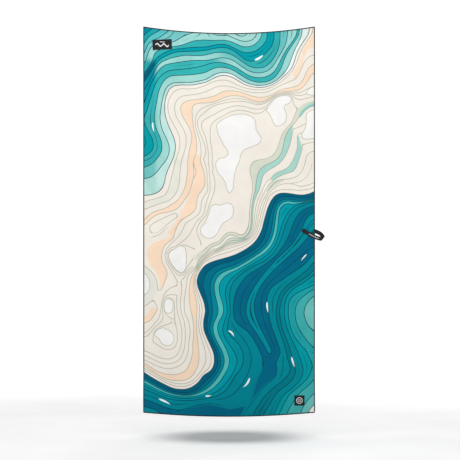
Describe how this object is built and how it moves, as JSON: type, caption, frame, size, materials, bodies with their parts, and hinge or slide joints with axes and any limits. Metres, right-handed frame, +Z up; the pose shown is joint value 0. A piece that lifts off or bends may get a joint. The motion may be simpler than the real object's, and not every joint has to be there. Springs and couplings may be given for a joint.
{
  "type": "quick dry towel",
  "caption": "Large rectangular microfibre travel towel with overlocked edges, sewn labels and a press-stud hanging strap on one side, hung by its top corners.",
  "frame": {"origin": "midpoint of the line between the cloth's two top corners, at the middle of its thickness", "axes": "+X to the right along the width, seen from the printed face, +Y out of the back face, +Z up, the towel hanging towards -Z"},
  "size_m": [0.847, 0.0138, 1.8204],
  "materials": {
    "printed_cloth": "matt suede microfibre, dye-printed with teal, cream and peach contour bands",
    "edge_thread": "black overlocked polyester thread",
    "woven_label": "black damask-woven label with a white woven motif",
    "sewing_thread": "black polyester sewing thread",
    "care_satin": "white satin ribbon",
    "strap_webbing": "black woven tape with a row of pale woven dashes",
    "snap_metal": "satin black enamelled press stud",
    "patch_interfacing": "black fused interfacing"
  },
  "bodies": {
    "towel": {"towel_cloth": "printed_cloth", "overlock_top": "edge_thread", "overlock_bottom": "edge_thread", "overlock_left": "edge_thread", "overlock_right": "edge_thread", "corner_label": "woven_label", "corner_label_stitch": "sewing_thread", "square_label": "woven_label", "square_label_stitch": "sewing_thread", "care_label_seam": "care_satin", "care_label_stitch": "sewing_thread", "strap_back_leg": "strap_webbing", "strap_tack_back": "sewing_thread", "strap_tack_front": "sewing_thread", "snap_stud": "snap_metal", "snap_post": "snap_metal", "snap_patch": "patch_interfacing"},
    "strap_fold_back": {"strap_fold_back": "strap_webbing"},
    "strap_fold_front": {"strap_fold_front": "strap_webbing"},
    "strap_flap": {"strap_front_leg": "strap_webbing", "snap_cap": "snap_metal", "snap_socket": "snap_metal"},
    "care_tab": {"care_label": "care_satin"}
  },
  "joints": [
    {"name": "strap_open", "type": "hinge", "parent": "towel", "child": "strap_fold_back", "pos_m": [0.434, 0.00545, -0.986], "axis": [0.6293, 0, 0.7771], "range_deg": [0, 55]},
    {"name": "strap_open_middle", "type": "hinge", "parent": "strap_fold_back", "child": "strap_fold_front", "pos_m": [0.43824, 0, -0.98943], "axis": [0.6293, 0, 0.7771], "range_deg": [0, 55]},
    {"name": "strap_open_front", "type": "hinge", "parent": "strap_fold_front", "child": "strap_flap", "pos_m": [0.434, -0.00545, -0.986], "axis": [0.6293, 0, 0.7771], "range_deg": [0, 55]},
    {"name": "care_label_swing", "type": "hinge", "parent": "towel", "child": "care_tab", "pos_m": [-0.29, 0.0013, -0.0625], "axis": [1, 0, 0], "range_deg": [0, 150]}
  ],
  "couplings": [
    {"joint": "strap_open_middle", "follows": "strap_open", "ratio": 1},
    {"joint": "strap_open_front", "follows": "strap_open", "ratio": 1}
  ]
}
